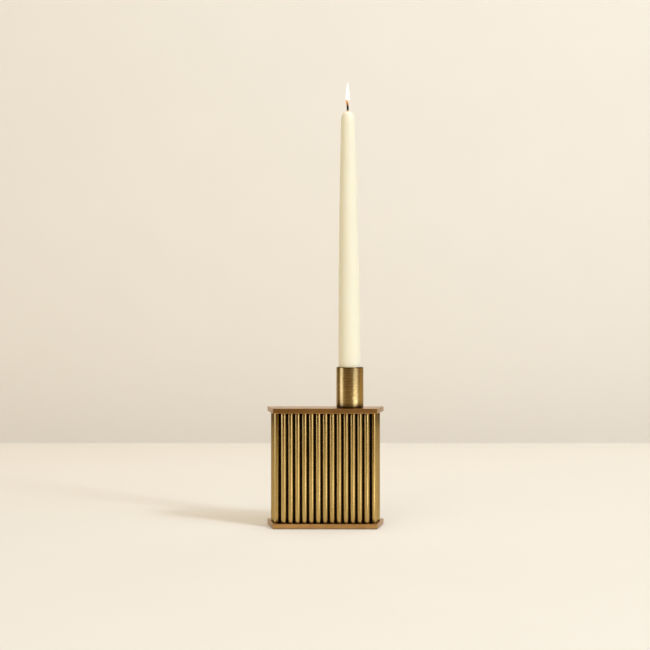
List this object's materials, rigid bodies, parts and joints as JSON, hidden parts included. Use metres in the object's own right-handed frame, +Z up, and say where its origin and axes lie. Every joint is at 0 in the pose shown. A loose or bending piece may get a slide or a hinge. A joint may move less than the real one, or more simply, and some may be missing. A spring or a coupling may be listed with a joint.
{
  "type": "candlestick",
  "caption": "Table candlestick: a reeded brass block on a trapezoid plan, between two flat plates, with an offset round cup that holds a tall taper candle.",
  "frame": {"origin": "on the floor, under the middle of the block", "axes": "+Z up, -Y towards the narrow front, +X towards the side that carries the candle cup"},
  "size_m": [0.1194, 0.04, 0.4331],
  "materials": {
    "plate_brass": "brushed and aged",
    "rod_brass": "satin, aged",
    "cup_brass": "finely turned, aged",
    "blackened_steel": "matt black",
    "bolt_steel": "plain",
    "felt": "wool felt",
    "ivory_wax": "smooth dipped wax",
    "wick_cotton": "charred at the tip"
  },
  "bodies": {
    "holder": {"base_plate": "plate_brass", "top_plate": "plate_brass", "inner_sleeve": "blackened_steel", "felt_pad": "felt", "candle_cup": "cup_brass", "cup_screw": "bolt_steel", "tie_bolt_1": "bolt_steel", "tie_bolt_2": "bolt_steel", "tie_bolt_3": "bolt_steel", "tie_bolt_4": "bolt_steel", "front_rod_01": "rod_brass", "front_rod_02": "rod_brass", "front_rod_03": "rod_brass", "front_rod_04": "rod_brass", "front_rod_05": "rod_brass", "front_rod_06": "rod_brass", "front_rod_07": "rod_brass", "front_rod_08": "rod_brass", "front_rod_09": "rod_brass", "front_rod_10": "rod_brass", "front_rod_11": "rod_brass", "front_rod_12": "rod_brass", "front_rod_13": "rod_brass", "back_rod_01": "rod_brass", "back_rod_02": "rod_brass", "back_rod_03": "rod_brass", "back_rod_04": "rod_brass", "back_rod_05": "rod_brass", "back_rod_06": "rod_brass", "back_rod_07": "rod_brass", "back_rod_08": "rod_brass", "back_rod_09": "rod_brass", "back_rod_10": "rod_brass", "back_rod_11": "rod_brass", "back_rod_12": "rod_brass", "back_rod_13": "rod_brass", "back_rod_14": "rod_brass", "left_rod_1": "rod_brass", "left_rod_2": "rod_brass", "left_rod_3": "rod_brass", "left_rod_4": "rod_brass", "right_rod_1": "rod_brass", "right_rod_2": "rod_brass", "right_rod_3": "rod_brass", "right_rod_4": "rod_brass"},
    "candle": {"taper_candle": "ivory_wax", "wick": "wick_cotton"}
  },
  "joints": [
    {"name": "candle_lift", "type": "slide", "parent": "holder", "child": "candle", "axis": [0, 0, 1], "range_m": [0, 0.04]}
  ]
}
